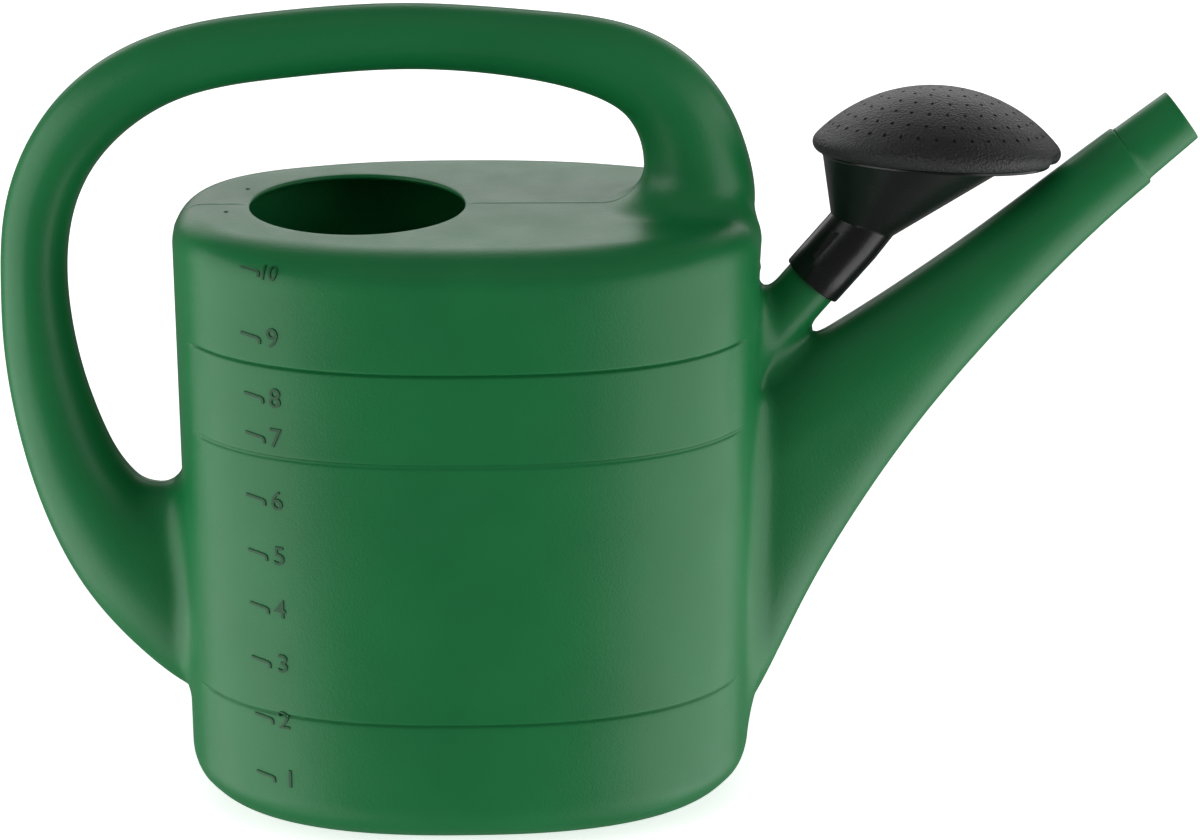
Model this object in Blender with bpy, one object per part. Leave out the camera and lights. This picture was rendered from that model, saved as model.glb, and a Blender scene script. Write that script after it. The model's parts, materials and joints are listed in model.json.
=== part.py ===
"""Ten-litre watering can: one hollow blow-moulded can, and a two-piece rose parked on its peg.

Everything is modelled around the foot of the tank, with +X towards the spout, and then moved
along X by one empty so that the whole object stands centred on the origin.
"""

import math

import bmesh
import bpy
import numpy as np

MM = 0.001
GAP = 0.3 * MM  # clearance between neighbouring pieces
WALL = 1.8 * MM  # wall of the blow moulding
ROSE_WALL = 1.5 * MM  # wall of the two injection mouldings

# Tank: a superellipse in plan, with rounded top and bottom edges.
TANK_LENGTH = 256.5 * MM
TANK_WIDTH = 176.0 * MM
TANK_HEIGHT = 272.0 * MM
TANK_SQUARENESS = 2.45
TANK_SIDES = 48
TOP_ROUND = 13.3 * MM
BASE_ROUND = 22.0 * MM
BASE_SEAM_Z = 24.0 * MM
TOP_SEAM_Z = 257.0 * MM
FOOT_RING_WIDTH = 14.0 * MM
FOOT_RECESS = 3.0 * MM
BAND_Z = (182.4 * MM, 222.7 * MM)  # a band round the tank that lies deeper than the rest
BAND_DEPTH = 1.0 * MM
LOWER_STEP_Z = 62.2 * MM  # below this line the wall is slightly drawn in
LOWER_STEP_DEPTH = 0.7 * MM
STEP_HEIGHT = 1.0 * MM
FILLER_X = -47.8 * MM
FILLER_RADIUS = 46.8 * MM

# Distance from the tank's centre to the middle of the whole object.
TANK_X = -57.3 * MM

# Handle, in millimetres: inner edge (x, z), outer edge (x, z) and half the depth across Y.
# It runs from the rear root, over the top, to the front root.
HANDLE_ROWS = (
    (-112, 141, -112, 36, 23),
    (-130, 142, -130, 44, 23),
    (-143, 143, -150, 61.5, 22.5),
    (-151, 148.5, -172, 89, 21),
    (-157.5, 158.5, -188, 122, 18.5),
    (-164.5, 176, -199, 162, 16.3),
    (-171, 200, -204, 200, 14.6),
    (-175, 235, -204, 236, 14.2),
    (-170.5, 270, -198.5, 277, 14.2),
    (-155, 297, -177, 317, 14.2),
    (-124.5, 318.5, -137, 345.2, 14.2),
    (-78, 328.2, -82, 356.7, 14.2),
    (-24, 332, -24, 360.2, 14.2),
    (24, 328, 32, 356.8, 14.6),
    (52, 321, 72, 350, 15.8),
    (68, 312, 96, 336.7, 17.5),
    (75.8, 298, 113, 316, 19.5),
    (77, 284, 122, 294.5, 21),
    (76, 268, 125.5, 271, 22),
    (76, 262, 126, 258, 22),
)
HANDLE_STEPS = 2
HANDLE_SIDES = 16

# Spout, in millimetres: top edge (x, z), bottom edge (x, z), half the width across Y, how far
# down the section is widest (a share of its height), and how full the section is below that.
SPOUT_ROWS = (
    (118, 188.5, 123, 22, 24, 0.28, 3.2),
    (140, 201.5, 134.5, 44, 23.5, 0.28, 3.2),
    (155, 210.5, 151, 82, 22.6, 0.33, 3.0),
    (175, 223.5, 173, 125, 21.2, 0.42, 2.7),
    (200, 241, 204, 173.5, 19.3, 0.5, 2.4),
    (225, 259.5, 237, 215, 17.5, 0.5, 2.1),
    (252, 281, 268, 250, 15.8, 0.5, 2.0),
    (281.5, 304.5, 300, 281.2, 14.3, 0.5, 2.0),
)
COLLAR_ROWS = (
    (282.5, 303.9, 299.4, 282.6, 12.35, 0.5, 2.0),
    (304.3, 320.6, 319.2, 301, 12.35, 0.5, 2.0),
)
SPOUT_STEPS = 2
SPOUT_SIDES = 24

# Peg that stores the rose: a closed stub that leans forward from the tank's front.
PEG_ANGLE = math.radians(50.3)
PEG_MOUTH = (152.05 * MM, 235.55 * MM)  # x and z where the rose's socket begins
PEG_RADIUS = 12.35 * MM
PEG_ROOT = -46.0 * MM  # along the peg's axis, measured from the socket's mouth
PEG_TIP = 24.0 * MM
PEG_SIDES = 24

# Rose, in its own frame: Z runs along the peg, and X points down towards the spout.
ROSE_TURNED = math.radians(-12.0)  # how far the parked rose is turned on the peg
SOCKET_RADIUS = 14.1 * MM
SOCKET_SEAM = 26.0 * MM
NECK_LEFT = (-14.1 * MM, 28.5 * MM)  # the slanting ring where the socket meets the funnel
NECK_RIGHT = (13.3 * MM, 39.0 * MM)
HEAD_CENTRE = (0.3 * MM, 81.8 * MM)
HEAD_TILT = math.radians(37.9)  # between the socket's axis and the head's axis
HEAD_RADIUS = 54.0 * MM
HEAD_RISE = 25.0 * MM
LIP_ROUND = 4.3 * MM
LIP_DROP = 6.0 * MM
FLANGE_RADIUS = 49.5 * MM
FLANGE_DROP = 7.4 * MM
CONE_TOP_X = -8.0 * MM  # the funnel's wide end lies off the head's axis, towards the back
CONE_TOP_RADIUS = 41.2 * MM
CONE_BORE_X = -6.9 * MM
CONE_BORE_RADIUS = 38.7 * MM
SPIGOT_RADIUS = 47.4 * MM
SPIGOT_TOP = -1.0 * MM
ROSE_SIDES = 32


# ---------------------------------------------------------------- meshes and materials


def material(name, colour, roughness):
    """A plain plastic."""
    made = bpy.data.materials.new(name)
    made.use_nodes = True
    shader = made.node_tree.nodes["Principled BSDF"]
    shader.inputs["Base Color"].default_value = (*colour, 1.0)
    shader.inputs["Roughness"].default_value = roughness
    shader.inputs["Metallic"].default_value = 0.0
    return made


def link(obj, parent):
    bpy.context.scene.collection.objects.link(obj)
    obj.parent = parent
    return obj


def empty(name, location, parent=None, turn_y=0.0, turn_z=0.0):
    made = link(bpy.data.objects.new(name, None), parent)
    made.location = location
    made.rotation_euler = (0.0, turn_y, turn_z)
    return made


def solid(name, rings, parent, closed_loop=False, finish=None):
    """One closed body through rings of equal length.

    With closed_loop the last ring joins the first, as in a pipe's wall; otherwise the first
    and last rings are filled.
    """
    mesh = bmesh.new()
    rows = [[mesh.verts.new(point) for point in ring] for ring in rings]
    pairs = list(zip(rows, rows[1:]))
    if closed_loop:
        pairs.append((rows[-1], rows[0]))
    else:
        mesh.faces.new(rows[0])
        mesh.faces.new(rows[-1])
    for low, high in pairs:
        for i in range(len(low)):
            j = (i + 1) % len(low)
            mesh.faces.new((low[i], low[j], high[j], high[i]))
    bmesh.ops.recalc_face_normals(mesh, faces=mesh.faces)
    data = bpy.data.meshes.new(name)
    mesh.to_mesh(data)
    mesh.free()
    if finish:
        data.materials.append(finish)
    data.shade_smooth()
    data.set_sharp_from_angle(angle=math.radians(35))
    return link(bpy.data.objects.new(name, data), parent)


def cutter(name, rings, parent):
    made = solid(name, rings, parent)
    made.hide_render = True
    made.display_type = "WIRE"
    return made


def cut(obj, *cutters):
    for tool in cutters:
        boolean = obj.modifiers.new(tool.name, "BOOLEAN")
        boolean.operation = "DIFFERENCE"
        boolean.object = tool


# ---------------------------------------------------------------- shapes


def arc(start, end, steps):
    return [start + (end - start) * i / steps for i in range(steps + 1)]


def smooth_rows(rows, steps):
    """A Catmull-Rom curve through rows of numbers, with steps between each two."""
    rows = np.array(rows, float)
    padded = np.vstack([2 * rows[0] - rows[1], rows, 2 * rows[-1] - rows[-2]])
    found = []
    for before, start, end, after in zip(padded, padded[1:], padded[2:], padded[3:]):
        for step in range(steps):
            t = step / steps
            found.append(
                0.5
                * (
                    2 * start
                    + (end - before) * t
                    + (2 * before - 5 * start + 4 * end - after) * t**2
                    + (3 * start - before - 3 * end + after) * t**3
                )
            )
    found.append(rows[-1])
    return np.array(found)


def tank_ring(inset, z):
    """The tank's plan at one height, drawn in by inset."""
    ring = []
    for i in range(TANK_SIDES):
        angle = 2 * math.pi * (i + 0.5) / TANK_SIDES
        power = 2 / TANK_SQUARENESS
        x = math.copysign(abs(math.cos(angle)) ** power, math.cos(angle))
        y = math.copysign(abs(math.sin(angle)) ** power, math.sin(angle))
        ring.append(((TANK_LENGTH / 2 - inset) * x, (TANK_WIDTH / 2 - inset) * y, z))
    return ring


def base_edge(inset):
    """Rings of the rounded bottom edge, from the floor up."""
    radius = BASE_ROUND - inset
    return [
        tank_ring(BASE_ROUND - radius * math.sin(a), BASE_ROUND - radius * math.cos(a))
        for a in arc(0, math.pi / 2, 5)
    ]


def top_edge(inset):
    """Rings of the rounded top edge, from the wall up to the top."""
    radius = TOP_ROUND - inset
    centre_z = TANK_HEIGHT - TOP_ROUND
    return [
        tank_ring(TOP_ROUND - radius * math.cos(a), centre_z + radius * math.sin(a))
        for a in arc(0, math.pi / 2, 4)
    ]


def wall_rings(offset, low_z, high_z):
    """The wall's outer side with its steps, moved inwards by offset."""
    half = STEP_HEIGHT / 2
    band_low, band_high = BAND_Z
    return [
        tank_ring(LOWER_STEP_DEPTH + offset, low_z),
        tank_ring(LOWER_STEP_DEPTH + offset, LOWER_STEP_Z - half),
        tank_ring(offset, LOWER_STEP_Z + half),
        tank_ring(offset, band_low - half),
        tank_ring(BAND_DEPTH + offset, band_low + half),
        tank_ring(BAND_DEPTH + offset, band_high - half),
        tank_ring(offset, band_high + half),
        tank_ring(offset, high_z),
    ]


def handle_rings(shrink):
    rings = []
    for row in smooth_rows(HANDLE_ROWS, HANDLE_STEPS) * MM:
        inner, outer, depth = row[0:2], row[2:4], row[4] - shrink
        middle = (inner + outer) / 2
        reach = np.linalg.norm(outer - inner) / 2
        across = (outer - inner) / 2 * (reach - shrink) / reach
        ring = []
        for angle in arc(0, 2 * math.pi, HANDLE_SIDES)[:-1]:
            x, z = middle + across * math.cos(angle)
            ring.append((x, depth * math.sin(angle), z))
        rings.append(ring)
    return rings


def spout_section(row, shrink):
    """One closed section: an ellipse above its widest line, and a fuller curve below it."""
    top, bottom = row[0:2] * MM, row[2:4] * MM
    half_width = row[4] * MM - shrink
    height = np.linalg.norm(top - bottom)
    down = (bottom - top) / height
    widest = top + down * height * row[5]
    above = height * row[5] - shrink
    below = height * (1 - row[5]) - shrink
    ring = []
    for angle in arc(0, 2 * math.pi, SPOUT_SIDES)[:-1]:
        rise, side = math.cos(angle), math.sin(angle)
        if rise >= 0:
            x, z = widest - down * above * rise
        else:
            power = 2 / row[6]
            x, z = widest + down * below * abs(rise) ** power
            side = math.copysign(abs(side) ** power, side)
        ring.append((x, half_width * side, z))
    return ring


def spout_rings(shrink):
    rows = list(smooth_rows(SPOUT_ROWS, SPOUT_STEPS)) + list(np.array(COLLAR_ROWS))
    return [spout_section(row, shrink) for row in rows]


def circle(radius, z, sides, centre=0.0):
    return [
        (centre + radius * math.cos(angle), radius * math.sin(angle), z)
        for angle in arc(0, 2 * math.pi, sides)[:-1]
    ]


def head_to_socket(ring):
    """Moves a ring from the head's frame into the socket's frame."""
    cosine, sine = math.cos(HEAD_TILT), math.sin(HEAD_TILT)
    return [
        (HEAD_CENTRE[0] + x * cosine - z * sine, y, HEAD_CENTRE[1] + x * sine + z * cosine)
        for x, y, z in ring
    ]


def neck_ring(shrink):
    """The slanting ring between the socket and the funnel."""
    middle_x = (NECK_LEFT[0] + NECK_RIGHT[0]) / 2
    half = (NECK_RIGHT[0] - NECK_LEFT[0]) / 2
    rise = (NECK_RIGHT[1] - NECK_LEFT[1]) / 2
    middle_z = (NECK_LEFT[1] + NECK_RIGHT[1]) / 2
    ring = []
    for angle in arc(0, 2 * math.pi, ROSE_SIDES)[:-1]:
        x = middle_x + (half - shrink) * math.cos(angle)
        y = (SOCKET_RADIUS - shrink) * math.sin(angle)
        ring.append((x, y, middle_z + rise * math.cos(angle)))
    return ring


def between(low, high, share):
    return [tuple(np.array(a) * (1 - share) + np.array(b) * share) for a, b in zip(low, high)]


def dome_sphere():
    return (HEAD_RADIUS**2 + HEAD_RISE**2) / (2 * HEAD_RISE)


def dome_arc(shrink, edge_radius):
    """(radius, z) of the domed face, from near its centre out to edge_radius."""
    radius = dome_sphere() - shrink
    slope = math.asin(edge_radius / radius)
    low = HEAD_RISE - dome_sphere()
    return [(radius * math.sin(a), low + radius * math.cos(a)) for a in arc(0.05, slope, 5)]


def dome_profile():
    """Outside of the rose's face: the dome, then the rounded lip down to its foot."""
    points = dome_arc(0, HEAD_RADIUS - 0.4 * LIP_ROUND)
    for angle in arc(math.radians(20), math.radians(-90), 4):
        radius = HEAD_RADIUS - LIP_ROUND + LIP_ROUND * math.cos(angle)
        points.append((radius, LIP_ROUND - LIP_DROP + LIP_ROUND * math.sin(angle)))
    return points


def dome_inside():
    """Inside of the rose's face: the dome, then the straight skirt round the spigot."""
    skirt = SPIGOT_RADIUS + GAP
    return dome_arc(ROSE_WALL, skirt) + [(skirt, -LIP_DROP)]


# ---------------------------------------------------------------- the can


def make_can(green, origin):
    outside = [tank_ring(BASE_ROUND, -GAP)] + base_edge(-GAP)[1:-1]
    outside += wall_rings(-GAP, BASE_SEAM_Z, TOP_SEAM_Z) + top_edge(-GAP)
    tank_space = cutter("tank_space", outside, origin)
    handle_bore = cutter("handle_bore", handle_rings(WALL), origin)
    spout_bore = cutter("spout_bore", extended(spout_rings(WALL)), origin)
    spout_space = cutter("spout_space", spout_rings(-GAP), origin)
    filler = cutter("filler", filler_rings(), origin)
    seat = empty("peg_axis", (PEG_MOUTH[0], 0, PEG_MOUTH[1]), origin, math.pi / 2 - PEG_ANGLE)
    peg_bore = cutter(
        "peg_bore",
        [
            circle(PEG_RADIUS - WALL, PEG_ROOT - 2 * MM, PEG_SIDES),
            circle(PEG_RADIUS - WALL, PEG_TIP - WALL, PEG_SIDES),
        ],
        seat,
    )

    wall = wall_rings(0, BASE_SEAM_Z + GAP, TOP_SEAM_Z)
    wall += wall_rings(WALL, BASE_SEAM_Z + GAP, TOP_SEAM_Z)[::-1]
    tank_wall = solid("tank_wall", wall, origin, closed_loop=True, finish=green)
    cut(tank_wall, handle_bore, spout_bore, peg_bore)

    foot = BASE_ROUND + FOOT_RING_WIDTH
    base = [
        tank_ring(foot + 4 * MM, FOOT_RECESS),
        tank_ring(foot, 0),
        *base_edge(0)[:-1],
        tank_ring(LOWER_STEP_DEPTH, BASE_SEAM_Z),
        tank_ring(LOWER_STEP_DEPTH + WALL, BASE_SEAM_Z),
        *base_edge(WALL)[-2::-1],
        tank_ring(foot + 1 * MM, WALL),
        tank_ring(foot + 5 * MM, FOOT_RECESS + WALL),
    ]
    solid("tank_base", base, origin, finish=green)

    top = [tank_ring(0, TOP_SEAM_Z + GAP), *top_edge(0), *top_edge(WALL)[::-1]]
    top.append(tank_ring(WALL, TOP_SEAM_Z + GAP))
    tank_top = top_solid(top, green, origin)
    cut(tank_top, filler, handle_bore)

    handle = solid("handle", handle_rings(0), origin, finish=green)
    cut(handle, handle_bore, tank_space)

    spout = solid("spout", spout_rings(0), origin, finish=green)
    cut(spout, spout_bore, tank_space)

    peg = [circle(PEG_RADIUS, z, PEG_SIDES) for z in (PEG_ROOT, PEG_TIP - 1.5 * MM)]
    peg.append(circle(PEG_RADIUS - 1.5 * MM, PEG_TIP, PEG_SIDES))
    rose_peg = solid("rose_peg", peg, seat, finish=green)
    cut(rose_peg, peg_bore, tank_space, spout_space)
    return seat


def extended(rings):
    """Adds a short stretch past the last ring, so that a bore runs out of its mouth."""
    last, before = np.array(rings[-1]), np.array(rings[-2])
    away = (last - before).mean(axis=0)
    further = last + away / np.linalg.norm(away) * 4 * MM
    return rings + [[tuple(point) for point in further]]


def filler_rings():
    low, high = TANK_HEIGHT - 20 * MM, TANK_HEIGHT + 10 * MM
    return [circle(FILLER_RADIUS, z, 48, FILLER_X) for z in (low, high)]


def top_solid(rings, finish, origin):
    """The tank's top: the outer and inner rings each close over it with a flat plate."""
    half = len(rings) // 2
    outer, inner = rings[:half], rings[half:]
    return solid("tank_top", outer[::-1] + inner[::-1], origin, finish=finish)


# ---------------------------------------------------------------- the rose


def make_rose(black, seat):
    turned = empty("rose_axis", (0, 0, 0), seat, turn_z=ROSE_TURNED)
    head = empty("rose_head", (HEAD_CENTRE[0], 0, HEAD_CENTRE[1]), turned, -HEAD_TILT)

    inside = PEG_RADIUS + GAP
    socket = [circle(SOCKET_RADIUS, z, ROSE_SIDES) for z in (0, SOCKET_SEAM - GAP)]
    socket += [circle(inside, z, ROSE_SIDES) for z in (SOCKET_SEAM - GAP, 0)]
    solid("rose_socket", socket, turned, closed_loop=True, finish=black)

    def rim(radius, z, x=0.0):
        return head_to_socket(circle(radius, z, ROSE_SIDES, x))

    seat_z = -LIP_DROP - GAP
    floor_z = ROSE_WALL - FLANGE_DROP
    spigot_bore = SPIGOT_RADIUS - ROSE_WALL
    cone_top = rim(CONE_TOP_RADIUS, -FLANGE_DROP, CONE_TOP_X)
    bore_top = rim(CONE_BORE_RADIUS, floor_z, CONE_BORE_X)
    neck, bore_neck = neck_ring(0), neck_ring(ROSE_WALL)
    funnel = [
        circle(SOCKET_RADIUS, SOCKET_SEAM, ROSE_SIDES),
        neck,
        between(neck, cone_top, 0.5),
        cone_top,
        rim(FLANGE_RADIUS, -FLANGE_DROP),
        rim(FLANGE_RADIUS, seat_z),
        rim(SPIGOT_RADIUS, seat_z),
        rim(SPIGOT_RADIUS, SPIGOT_TOP),
        rim(spigot_bore, SPIGOT_TOP),
        rim(spigot_bore, floor_z),
        bore_top,
        between(bore_neck, bore_top, 0.5),
        bore_neck,
        circle(inside, SOCKET_SEAM, ROSE_SIDES),
    ]
    solid("rose_funnel", funnel, turned, closed_loop=True, finish=black)

    outer = [circle(radius, z, ROSE_SIDES) for radius, z in dome_profile()]
    inner = [circle(radius, z, ROSE_SIDES) for radius, z in dome_inside()]
    solid("rose_face", outer + inner[::-1], head, finish=black)


def main():
    for obj in list(bpy.data.objects):
        bpy.data.objects.remove(obj)
    green = material("green_plastic", (0.012, 0.115, 0.036), 0.38)
    black = material("black_plastic", (0.012, 0.012, 0.013), 0.35)
    origin = empty("can_origin", (TANK_X, 0, 0))
    seat = make_can(green, origin)
    make_rose(black, seat)


main()
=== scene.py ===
"""Garden watering can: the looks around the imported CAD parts.

The can is one blow moulding, so its six CAD nodes are shown as one continuous surface. It is
worked out as a field of distances: the tank, the looped handle, the spout and the peg melt into
each other with the moulding's own rounded corners. The rose's two injection mouldings are turned
and lofted. Everything is in millimetres around the foot of the tank, with +X towards the spout,
and moves along X into the row frame when it becomes a mesh.
"""

import json
import math

import bmesh
import bpy
import numpy as np
from mathutils import Matrix, Vector
from mathutils.geometry import delaunay_2d_cdt


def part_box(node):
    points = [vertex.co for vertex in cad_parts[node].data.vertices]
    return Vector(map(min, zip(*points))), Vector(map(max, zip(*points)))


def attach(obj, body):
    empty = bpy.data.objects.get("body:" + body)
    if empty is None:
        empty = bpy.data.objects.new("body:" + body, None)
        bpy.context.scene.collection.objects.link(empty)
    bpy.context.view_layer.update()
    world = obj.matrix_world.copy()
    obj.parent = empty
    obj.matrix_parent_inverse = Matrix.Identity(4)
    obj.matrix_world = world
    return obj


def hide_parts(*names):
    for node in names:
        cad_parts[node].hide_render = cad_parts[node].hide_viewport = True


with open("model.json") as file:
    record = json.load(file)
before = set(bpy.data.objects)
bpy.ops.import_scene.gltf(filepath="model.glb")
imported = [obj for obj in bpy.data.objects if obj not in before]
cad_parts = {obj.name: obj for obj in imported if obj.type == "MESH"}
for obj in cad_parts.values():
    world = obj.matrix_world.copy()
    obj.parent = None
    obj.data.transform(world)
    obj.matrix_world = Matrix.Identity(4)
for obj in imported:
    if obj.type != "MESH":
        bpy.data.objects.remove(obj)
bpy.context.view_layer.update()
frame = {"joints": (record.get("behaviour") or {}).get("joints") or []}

MM = 0.001
WALL = 1.8  # the can's wall at its openings
SHELL_WALL = 2.5  # elsewhere: thick enough to span the grooves, which only the outside has
ROSE_WALL = 1.5
TANK_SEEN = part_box("tank_wall")
TANK_X = (TANK_SEEN[0].x + TANK_SEEN[1].x) / 2 / MM

# Tank: a superellipse in plan, with rounded top and bottom edges.
TANK_LENGTH = (TANK_SEEN[1].x - TANK_SEEN[0].x) / MM
TANK_WIDTH = (TANK_SEEN[1].y - TANK_SEEN[0].y) / MM
TANK_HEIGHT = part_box("tank_top")[1].z / MM
TANK_SQUARENESS = 2.45
TOP_ROUND = 13.3
TOP_REACH = 8.0  # how much further the top's rounding reaches in along the tank's two sides
TOP_REACH_ENDS = (60, 122)  # that reach fades between these distances from the tank's middle
BASE_ROUND = 22.0
FOOT_RING_WIDTH = 14.0
FOOT_RECESS = 3.0
BAND_Z = (182.4, 222.7)  # a band round the tank that lies deeper than the rest
BAND_DEPTH = 1.0
LOWER_STEP_Z = 62.2  # below this line the wall is slightly drawn in
LOWER_STEP_DEPTH = 0.7
STEP_HEIGHT = 0.8  # over which each step goes in or out
STEP_ENDS = (112, 122)  # steps and grooves fade between these distances from the middle
GROOVES = ((222.3, 1.0), (181.8, 0.8), (61.8, 0.8))  # height and depth
GROOVE_WIDTH = 0.8
FILLER_X = -47.8
FILLER_RADIUS = 46.8
FILLER_EDGE = 1.0  # radius of its rounded edge

# Limbs: one edge (x, z), the other edge (x, z), half the depth across Y, where between the
# edges the section is widest, and how full the section is beyond that.
HANDLE_ROWS = (
    (-112, 141, -112, 36, 23, 0.5, 2),
    (-130, 142, -130, 44, 23, 0.5, 2),
    (-143, 143, -150, 61.5, 22.5, 0.5, 2),
    (-151, 148.5, -172, 89, 21, 0.5, 2),
    (-157.5, 158.5, -188, 122, 18.5, 0.5, 2),
    (-164.5, 176, -199, 162, 16.3, 0.5, 2),
    (-171, 200, -204, 200, 14.6, 0.5, 2),
    (-175, 235, -204, 236, 14.2, 0.5, 2),
    (-170.5, 270, -198.5, 277, 14.2, 0.5, 2),
    (-155, 297, -177, 317, 14.2, 0.5, 2),
    (-124.5, 318.5, -137, 345.2, 14.2, 0.5, 2),
    (-78, 328.2, -82, 356.7, 14.2, 0.5, 2),
    (-24, 332, -24, 360.2, 14.2, 0.5, 2),
    (24, 328, 32, 356.8, 14.6, 0.5, 2),
    (52, 321, 72, 350, 15.8, 0.5, 2),
    (68, 312, 96, 336.7, 17.5, 0.5, 2),
    (75.8, 298, 113, 316, 19.5, 0.5, 2),
    (77, 284, 122, 294.5, 21, 0.5, 2),
    (76, 268, 125.5, 271, 22, 0.5, 2),
    (76, 250, 119.5, 247, 22, 0.5, 2),
)
SPOUT_ROWS = (
    (118, 188.5, 123, 22, 24, 0.28, 3.2),
    (140, 201.5, 134.5, 44, 23.5, 0.28, 3.2),
    (155, 210.5, 151, 82, 22.6, 0.33, 3.0),
    (175, 223.5, 173, 125, 21.2, 0.42, 2.7),
    (200, 241, 204, 173.5, 19.3, 0.5, 2.4),
    (225, 259.5, 237, 215, 17.5, 0.5, 2.1),
    (252, 281, 268, 250, 15.8, 0.5, 2.0),
    (281.5, 304.5, 300, 281.2, 14.3, 0.5, 2.0),
    (297, 316.5, 315, 293.5, 13.8, 0.5, 2.0),
)
SHOULDER_ROW = 7  # the spout row where the collar's shoulder begins
SHOULDER_EDGE = 1.3
# The collar's ends: its two edges (x, z) and half its depth.
COLLAR_START = (282.5, 303.9, 299.4, 282.6, 12.35)
COLLAR_END = (304.3, 320.6, 319.2, 301.0, 12.35)

# Peg and rose, from the joint that turns the rose on its peg.
TURN = next(joint for joint in frame["joints"] if joint["name"] == "rose_turn")
PEG_AXIS = Vector(TURN["axis"]).normalized()
PEG_MOUTH = (TURN["pos_m"][0] / MM - TANK_X, TURN["pos_m"][2] / MM)
PEG_RADIUS = 12.35
PEG_ROOT = -46.0  # along the peg's axis
PEG_TIP = 24.0
PEG_EDGE = 1.5
ROSE_TURNED = math.radians(-12.0)
SOCKET_RADIUS = 14.1
SOCKET_SEAM = 26.0
# Places in the rose are given across and along its socket's axis.
NECK_LEFT = (-14.1, 28.5)
NECK_RIGHT = (13.3, 39.0)
HEAD_CENTRE = (0.3, 81.8)
HEAD_TILT = math.radians(37.9)
HEAD_RADIUS = 54.0
HEAD_RISE = 25.0
LIP_ROUND = 4.3
LIP_DROP = 6.0
FLANGE_RADIUS = 49.5
FLANGE_DROP = 7.4
CONE_TOP_X = -8.0
CONE_TOP_RADIUS = 41.2
CONE_BORE_X = -6.9
CONE_BORE_RADIUS = 38.7
SPIGOT_RADIUS = 47.4
SPIGOT_TOP = -1.0
ROSE_PLAY = 0.3  # between the sleeve and the peg, and between the face and the funnel
ROSE_SIDES = 216

# Fillets: a pair holds the one in the middle plane and the one at the limb's two sides.
SPOUT_FILLETS = (2, 10)
PEG_FILLET = 9.5
REAR_FILLETS = (2, 8)  # below the handle's rear root
REAR_TOP_FILLET = 11  # above it
FRONT_FILLETS = (3.5, 12)  # at the tank's front edge
FRONT_BACK_FILLET = 17.5  # on the tank's top, behind the handle's front root

RIDGE_HEIGHT = 0.2  # the mould's parting line
RIDGE_WIDTH = 0.65


# ---------------------------------------------------------------- the field


def smoothstep(low, high, value):
    """From 0 to 1, with soft ends, while value goes from low to high."""
    share = np.clip((value - low) / (high - low), 0, 1)
    return share * share * (3 - 2 * share)


def ramp(start, end, low, high, value):
    """From start to end while value goes from low to high."""
    return start + (end - start) * smoothstep(low, high, value)


def plan_inset(x, y):
    """How far inside the tank's plan a point lies; negative outside."""
    x, y = np.abs(x), np.abs(y)
    inset = np.zeros(np.broadcast(x, y).shape)
    for _ in range(9):
        along, across = TANK_LENGTH / 2 - inset, TANK_WIDTH / 2 - inset
        share_x = (x / along) ** TANK_SQUARENESS
        share_y = (y / across) ** TANK_SQUARENESS
        total = share_x + share_y + 1e-12
        reach = total ** (1 / TANK_SQUARENESS)
        inset -= (reach - 1) * total / (share_x / along + share_y / across + 1e-15)
        inset = np.clip(inset, -150, TANK_WIDTH / 2 - 2)
    return inset


def drawn_in(z):
    """How far the wall lies behind its full size at one height."""
    half = STEP_HEIGHT / 2
    low, high = BAND_Z
    band = smoothstep(low - half, low + half, z) - smoothstep(high - half, high + half, z)
    foot = 1 - smoothstep(LOWER_STEP_Z - half, LOWER_STEP_Z + half, z)
    found = BAND_DEPTH * band + LOWER_STEP_DEPTH * foot
    for middle, depth in GROOVES:
        found = found + depth * np.exp(-(((z - middle) / GROOVE_WIDTH) ** 2))
    return found


def round_corner(beside, beyond, radius):
    """Distance to a corner of that radius, from the distances past the corner's centre."""
    outside = np.hypot(np.maximum(beside, 0), np.maximum(beyond, 0))
    return outside + np.minimum(np.maximum(beside, beyond), 0) - radius


def oval_corner(beside, beyond, reach, radius):
    """The same for a corner that reaches further sideways than it drops."""
    sideways, upwards = np.maximum(beside, 0) / reach, np.maximum(beyond, 0) / radius
    size = np.hypot(sideways, upwards) + 1e-9
    slope = np.hypot(sideways / reach, upwards / radius) / size + 1e-9
    flat = np.maximum(beside - reach, beyond - radius)
    return np.where((beside > 0) & (beyond > 0), (size - 1) / slope, flat)


def tank_distance(x, y, z, steps):
    """Distance from the tank alone; steps scales its bands and grooves."""
    inset = plan_inset(x, y)
    aside = np.abs(x)
    side = steps * (1 - smoothstep(*STEP_ENDS, aside)) * drawn_in(z) - inset
    inner = BASE_ROUND + FOOT_RING_WIDTH
    recess = FOOT_RECESS * smoothstep(inner, inner + 4, inset)
    reach = TOP_ROUND + TOP_REACH * (1 - smoothstep(*TOP_REACH_ENDS, aside))
    top = oval_corner(side + reach, z - TANK_HEIGHT + TOP_ROUND, reach, TOP_ROUND)
    base = round_corner(side + BASE_ROUND, BASE_ROUND + recess - z, BASE_ROUND)
    return np.maximum(top, base)


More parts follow.
